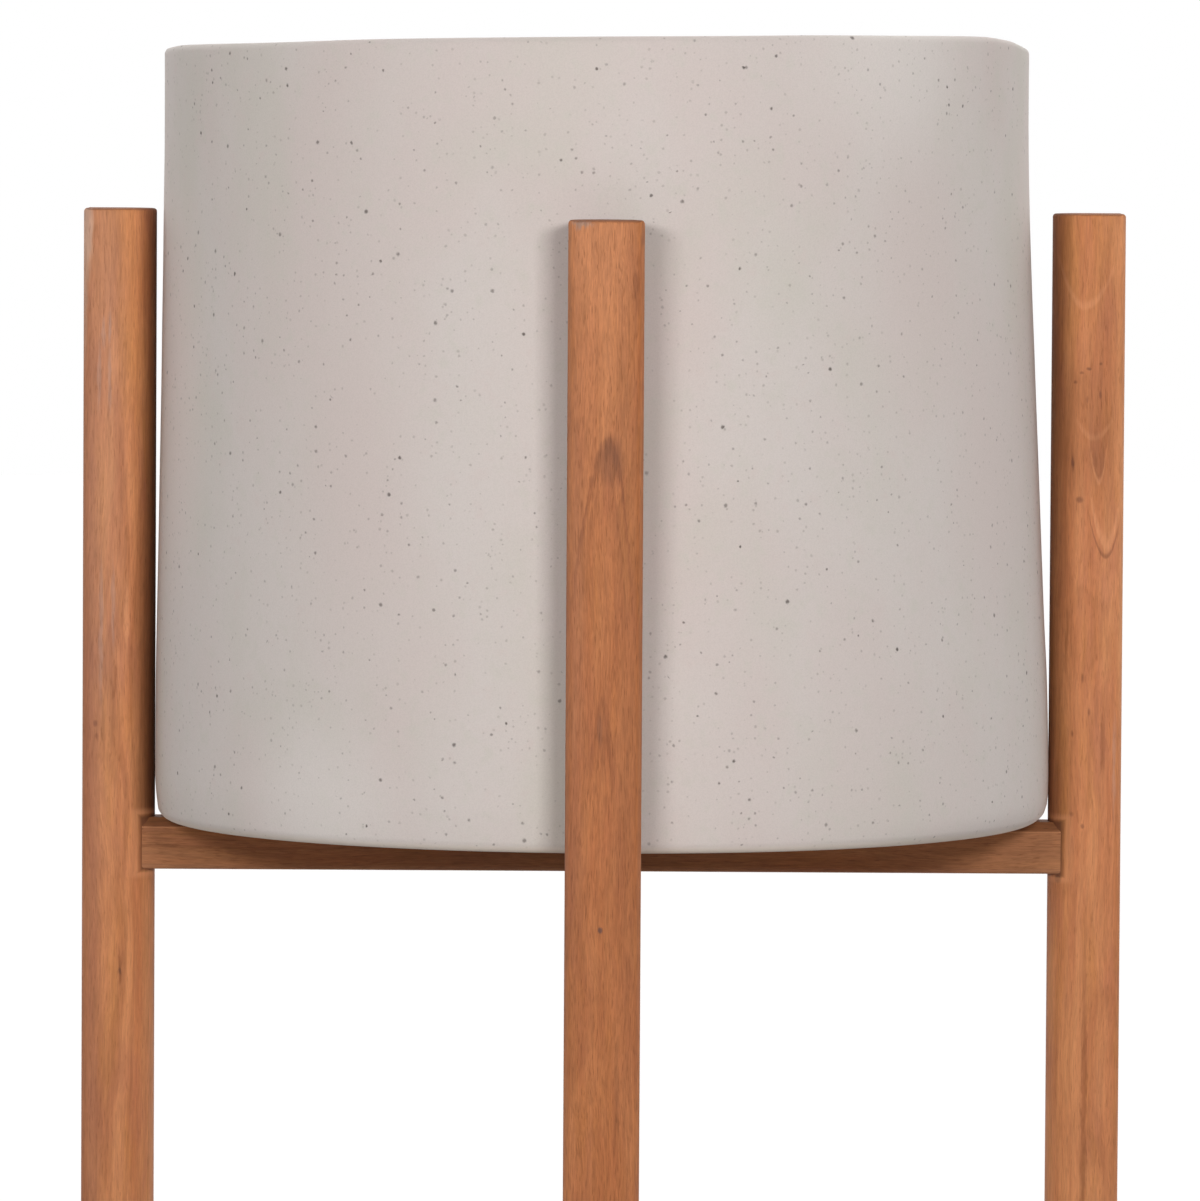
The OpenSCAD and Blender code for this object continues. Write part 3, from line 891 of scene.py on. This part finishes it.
def dowel_birch():
    """Pale wood with small darker flecks."""
    material, t = new_material("dowel_birch")
    place = t.place()
    fleck = t.noise(t.scaled(place, 700, 700, 900), 3.0, 0.7)
    cloud = t.noise(t.scaled(place, 90, 90, 120), 2.0, 0.6)
    base = t.mix(t.step(cloud, 0.3, 0.7), colour(BIRCH), colour(BIRCH_DARK))
    base = t.mix(t.step(fleck, 0.55, 0.75, 0.0, 0.4), base, colour(BIRCH_FLECK))
    paint(t, base=base, rough=0.6, normal=t.bump(fleck, 0.03 * MM))
    return material


def foot_of(low, high):
    """The middle of a box's underside, and the box's height in millimetres."""
    return Vector(((low.x + high.x) / 2, (low.y + high.y) / 2, low.z)), (high.z - low.z) / MM


GLIDE_R, GLIDE_EDGE, GLIDE_GROOVE = 11, 1.5, 0.4
NAIL_R, NAIL_HEAD_R, NAIL_SEAT = 1.25, 3.0, 2.2


def make_glide(side, material):
    """A turned nylon glide, with a hole and a seat for its nail and a moulded ring underneath."""
    low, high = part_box("glide_" + side)
    foot, top = foot_of(low, high)
    bore, seat, body = NAIL_R + 0.06, NAIL_HEAD_R + 0.06, GLIDE_R - GLIDE_EDGE
    section = [(bore, NAIL_SEAT), (seat, NAIL_SEAT), (seat, 0.3), (seat + 0.3, 0), (6.0, 0)]
    section += [(6.3, GLIDE_GROOVE), (7.4, GLIDE_GROOVE), (7.7, 0)]
    section += arc(body, GLIDE_EDGE, GLIDE_EDGE, -90, 0, 6)
    section += [(GLIDE_R, top - 0.3), (GLIDE_R - 0.3, top), (bore, top)]
    glide = turned("nylon_glide_" + side, section, foot, closed=True)
    dress(glide, material)
    stands_for(glide, "stand", "glide_nylon", "glide_" + side)


def make_nail(side, material):
    """A wire nail: a domed head, grip rings under it and a cut point."""
    low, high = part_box("nail_" + side)
    foot, length = foot_of(low, high)
    section = [(0.9, 0), (1.9, 0.12), (2.6, 0.35), (2.95, 0.7)]
    section += [(NAIL_HEAD_R, 0.95), (2.9, 1.2), (NAIL_R, 1.2)]
    grip = NAIL_R - 0.14
    for i in range(6):
        section += [(NAIL_R, 1.7 + 0.6 * i), (grip, 1.85 + 0.6 * i), (grip, 2.05 + 0.6 * i)]
    section += [(NAIL_R, 5.6), (NAIL_R, length - 3.2), (0.75, length - 1.3), (0.12, length)]
    nail = turned("steel_nail_" + side, section, foot, around=24)
    dress(nail, material)
    stands_for(nail, "stand", "nail_steel", "nail_" + side)


DOWEL_LENGTH, DOWEL_CHAMFER, DOWEL_FLUTES = 30, 0.8, 20


def flute(r, h, a):
    """Grooves along a dowel, but not at its ends."""
    groove = max(0.0, math.cos(DOWEL_FLUTES * a))
    return r - 0.2 * groove * smooth(h / 1.5) * smooth((DOWEL_LENGTH - h) / 1.5)


def make_dowel(side, level, material):
    """A fluted dowel, lying along its rail."""
    name = "dowel_%s_%s" % (side, level)
    low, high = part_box(name)
    angle = math.radians(SIDES[side])
    axis = Vector((round(math.cos(angle)), round(math.sin(angle)), 0))
    middle = (low + high) / 2
    length = abs((high - low).dot(axis)) / MM
    r = (high.z - low.z) / MM / 2
    ends = (DOWEL_CHAMFER, 1.2, 1.6, 2.2)
    heights = [*ends, length / 2, *(length - h for h in reversed(ends))]
    section = [(r - DOWEL_CHAMFER, 0)] + [(r, h) for h in heights] + [(r - DOWEL_CHAMFER, length)]
    dowel = turned("fluted_" + name, section, middle - axis * length / 2 * MM, axis, 120, flute)
    dress(dowel, material)
    stands_for(dowel, "stand", "dowel_wood", name)


# The socket is a hexagon, BOLT_KEY from its middle to each flat. Along the thread, the section has
# a point every BOLT_STEP
BOLT_R, BOLT_PITCH, BOLT_THREAD = 3.0, 1.0, 0.55
BOLT_HEAD_R, BOLT_HEAD_H = 7.5, 2.5
BOLT_KEY, BOLT_KEY_H = 2.0, 1.8
BOLT_STEP = 0.125


def bolt_shape(r, h, a):
    """A hexagon in the socket and a thread above the head."""
    if r < 0:
        return -r / math.cos((a % (math.pi / 3)) - math.pi / 6)
    if h > BOLT_HEAD_H + 1 and r == BOLT_R:
        turn = (h / BOLT_PITCH - a / (2 * math.pi)) % 1.0
        return r - BOLT_THREAD * smooth(1 - abs(2 * turn - 1)) * smooth((h - BOLT_HEAD_H - 1) / 1.2)
    return r


def make_bolt():
    """A flat socket-head bolt that clamps the two rails from below. Its section's negative radii are
    half widths of the socket's hexagon."""
    low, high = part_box("cross_bolt")
    length = (high.z - low.z) / MM
    edge = BOLT_HEAD_H / 2
    section = [(0.3, BOLT_KEY_H), (-BOLT_KEY, BOLT_KEY_H), (-BOLT_KEY, 0.3), (2.6, 0), (4.5, 0)]
    section += arc(BOLT_HEAD_R - edge, edge, edge, -90, 0, 7)
    section += [(BOLT_HEAD_R, BOLT_HEAD_H - 0.15), (BOLT_HEAD_R - 0.15, BOLT_HEAD_H), (BOLT_R, BOLT_HEAD_H)]
    steps = int((length - BOLT_HEAD_H - 1.6) / BOLT_STEP)
    section += [(BOLT_R, BOLT_HEAD_H + 1 + BOLT_STEP * i) for i in range(steps)]
    section += [(BOLT_R - 0.6, length - 0.4), (BOLT_R - 1.0, length)]
    bolt = turned("socket_bolt", section, Vector((0, 0, low.z)), shape=bolt_shape, crease=55)
    dress(bolt, plain("bolt_steel", BOLT_GREY, 0.32, 1.0))
    stands_for(bolt, "stand", "bolt_steel", "cross_bolt")


# The insert: radius of the groove round its middle, number of its ridges and their least radius
INSERT_GROOVE, INSERT_RIDGES, INSERT_KNURL = 3.9, 30, 4.2


def knurl(r, h, a):
    """Ridges along the insert's two bands."""
    ridge = 0.25 * (0.5 + 0.5 * math.cos(INSERT_RIDGES * a))
    return r - ridge if r > INSERT_KNURL else r


def make_insert():
    """A knurled brass insert, with a groove round its middle."""
    low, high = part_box("cross_insert")
    length = (high.z - low.z) / MM
    r, bore = (high.x - low.x) / MM / 2, BOLT_R + 0.06
    band = [(r - 0.4, 0), (r, 0.4), (r, 3.0), (INSERT_GROOVE, 3.4), (INSERT_GROOVE, 4.1), (r, 4.5)]
    band += [(r, length - 0.4), (r - 0.4, length)]
    section = [(bore, 0.3), (bore + 0.3, 0)] + band + [(bore + 0.3, length), (bore, length - 0.3)]
    insert = turned("knurled_insert", section, Vector((0, 0, low.z)), around=120, shape=knurl, closed=True)
    dress(insert, plain("insert_brass", BRASS, 0.3, 1.0))
    stands_for(insert, "stand", "insert_brass", "cross_insert")


# Heights of the plug's stem and flange
PLUG_STEM, PLUG_FLANGE = 12, 3

# Its tab: half width, height, half thickness, points round it, and how square its section is, from
# 1 for an oval down to 0
TAB_W, TAB_H, TAB_T = 7.5, 12, 2.0
TAB_AROUND, TAB_SQUARE = 48, 0.45


def tab_rows(foot):
    """Rows up the plug's tab: rounded oblongs, ridged for grip, that close in to a round top."""
    rows = []
    base, straight = PLUG_STEM + PLUG_FLANGE - 0.4, PLUG_STEM + PLUG_FLANGE + TAB_H - TAB_W
    heights = list(np.linspace(base, straight, 14))
    heights += [straight + TAB_W * math.sin(math.radians(v)) * 0.995 for v in range(8, 89, 8)]
    for h in heights:
        over = max(0.0, h - straight) / TAB_W
        wide = TAB_W * math.sqrt(max(0.0, 1 - over * over))
        thick = min(TAB_T, 1.55 + 0.4 * max(0.0, math.sin(2 * math.pi * (h - base) / 3.0)))
        thick *= math.sqrt(max(0.05, 1 - smooth((over - 0.8) / 0.2)))
        row = []
        for i in range(TAB_AROUND):
            a = 2 * math.pi * i / TAB_AROUND
            x = math.copysign(abs(math.cos(a)) ** TAB_SQUARE, math.cos(a)) * wide
            y = math.copysign(abs(math.sin(a)) ** TAB_SQUARE, math.sin(a)) * thick
            row.append(foot + Vector((x, y, h)) * MM)
        rows.append(row)
    return rows


def make_plug():
    """A rubber drain plug: a ribbed stem, a rounded flange and a tab to pull it out by."""
    low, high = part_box("drain_plug")
    foot = Vector((0, 0, low.z))
    flange, stem = (high.x - low.x) / MM / 2, DRAIN - 0.08
    section = [(stem - 3.5, 0.6), (stem - 2.2, 0), (stem - 1.2, 0), (stem - 0.4, 0.7)]
    for h in (1.6, 4.9, 8.2):
        section += [(stem, h), (stem, h + 1.7), (stem - 0.7, h + 2.3), (stem - 0.7, h + 2.8)]
    section += [(stem, PLUG_STEM - 0.3), (stem, PLUG_STEM), (flange, PLUG_STEM)]
    edge = PLUG_FLANGE / 2
    section += arc(flange - edge, PLUG_STEM + edge, edge, 0, 90, 8)
    top = PLUG_STEM + PLUG_FLANGE
    groove = top - 0.5
    section += [(flange - 3.0, top), (flange - 3.6, groove), (flange - 4.6, groove), (flange - 5.2, top)]
    section += [(8.0, top), (1.0, top)]
    rubber = plain("plug_rubber", RUBBER, 0.6)
    plug = turned("rubber_plug", section, foot, around=96)
    tab = ring_mesh("rubber_plug_tab", tab_rows(foot), closed=False, crease=50)
    for piece in (plug, tab):
        dress(piece, rubber)
        stands_for(piece, "plug", "plug_rubber", "drain_plug")


def make_small_parts():
    """Everything but the boards and the pot."""
    nylon = plain("glide_nylon", NYLON, 0.45)
    steel = plain("nail_steel", STEEL, 0.3, 1.0)
    birch = dowel_birch()
    for side in SIDES:
        make_glide(side, nylon)
        make_nail(side, steel)
        for level in ("upper", "lower"):
            make_dowel(side, level, birch)
    make_bolt()
    make_insert()
    make_plug()


# ---- Stage: floor, world, lamps and camera

# The floor: half its size in metres, its colour, and the glow that makes it show white
FLOOR_HALF = 9.0
FLOOR_GREY = "#959493"
FLOOR_GLOW = 0.71

# The sky's strength in front of the object and behind it, and how much more of it is to the right
SKY_FRONT = 0.05
SKY_BEHIND = 2.25
SKY_LEAN = 0.17

# The camera: place in metres, turns in radians, lens and sensor in millimetres
CAMERA_PLACE = (-14.7 * MM, -4.5, 0.604)
YAW, PITCH, ROLL = 0.003, 0.0569, 0.006
LENS, SENSOR = 302.15, 36.0


def backdrop_share(t):
    """1 for the rays that should see the plain white background."""
    rays = t.node("LightPath").outputs
    seen = t.plus(rays["Is Camera Ray"], rays["Is Glossy Ray"])
    seen = t.plus(seen, rays["Is Transmission Ray"])
    return t.calc("MINIMUM", seen, 1.0)


def make_world():
    """A white backdrop that lights the object from behind, and a dim studio in front of it."""
    world = bpy.data.worlds.new("studio")
    bpy.context.scene.world = world
    t = Tree(world)
    across, behind, _ = t.split(t.node("TexCoord").outputs["Generated"])
    level = t.step(behind, -0.15, 0.35, SKY_FRONT, SKY_BEHIND)
    level = t.times(level, t.calc("MULTIPLY_ADD", across, SKY_LEAN, 1.0))
    light = t.node("Background", {"Color": WHITE, "Strength": level}).outputs[0]
    white = t.node("Background", {"Color": WHITE, "Strength": 1.0}).outputs[0]
    both = t.node("MixShader", {0: backdrop_share(t), 1: light, 2: white}).outputs[0]
    t.node("OutputWorld", {"Surface": both})


def make_floor():
    """A wide matte floor that takes shadows. It shows white, and lets a view from below through."""
    corners = [(x * FLOOR_HALF, y * FLOOR_HALF, 0) for x, y in ((-1, -1), (1, -1), (1, 1), (-1, 1))]
    mesh = bpy.data.meshes.new("floor")
    mesh.from_pydata(corners, [], [(0, 1, 2, 3)])
    floor = bpy.data.objects.new("floor", mesh)
    bpy.context.scene.collection.objects.link(floor)
    material, t = new_material("pale_floor")
    matte = t.node("BsdfDiffuse", {"Color": colour(FLOOR_GREY)}).outputs[0]
    glow = t.node("Emission", {"Strength": t.times(backdrop_share(t), FLOOR_GLOW)}).outputs[0]
    solid = t.node("AddShader", {0: matte, 1: glow}).outputs[0]
    below = t.node("NewGeometry").outputs["Backfacing"]
    clear = t.node("BsdfTransparent").outputs[0]
    t.surface(t.node("MixShader", {0: below, 1: solid, 2: clear}).outputs[0])
    dress(floor, material)


def soft_lamp(name, azimuth, elevation, distance, width, height, level):
    """A soft box. level is the light that it adds to a white surface facing it."""
    data = bpy.data.lights.new(name, "AREA")
    data.shape, data.size, data.size_y = "RECTANGLE", width, height
    data.energy = level * math.pi ** 2 * distance ** 2
    lamp = bpy.data.objects.new(name, data)
    bpy.context.scene.collection.objects.link(lamp)
    a, e = math.radians(azimuth), math.radians(elevation)
    towards = Vector((math.sin(a) * math.cos(e), -math.cos(a) * math.cos(e), math.sin(e)))
    aim = Vector((0, 0, (POT_LOW.z + POT_HIGH.z) / 2))
    lamp.location = aim + towards * distance
    lamp.rotation_mode = "QUATERNION"
    lamp.rotation_quaternion = (-towards).to_track_quat("-Z", "Y")
    lamp.visible_camera = False


def make_camera():
    """A long lens at rim height, a touch to the left, looking slightly down."""
    data = bpy.data.cameras.new("camera")
    data.sensor_fit, data.sensor_width, data.lens = "HORIZONTAL", SENSOR, LENS
    data.clip_start, data.clip_end = 0.05, 60
    camera = bpy.data.objects.new("camera", data)
    bpy.context.scene.collection.objects.link(camera)
    turn = Matrix.Rotation(-YAW, 4, "Z") @ Matrix.Rotation(math.pi / 2 - PITCH, 4, "X")
    camera.matrix_world = Matrix.Translation(CAMERA_PLACE) @ turn @ Matrix.Rotation(ROLL, 4, "Z")
    bpy.context.scene.camera = camera


make_camera()
make_world()
make_floor()
soft_lamp("lamp_right", azimuth=13, elevation=10, distance=2.3, width=0.50, height=0.30, level=0.405)
soft_lamp("lamp_left", azimuth=-15, elevation=10, distance=2.3, width=0.56, height=0.30, level=0.34)
dress_wood()
make_pot()
make_small_parts()
bpy.context.scene.view_settings.view_transform = "Standard"
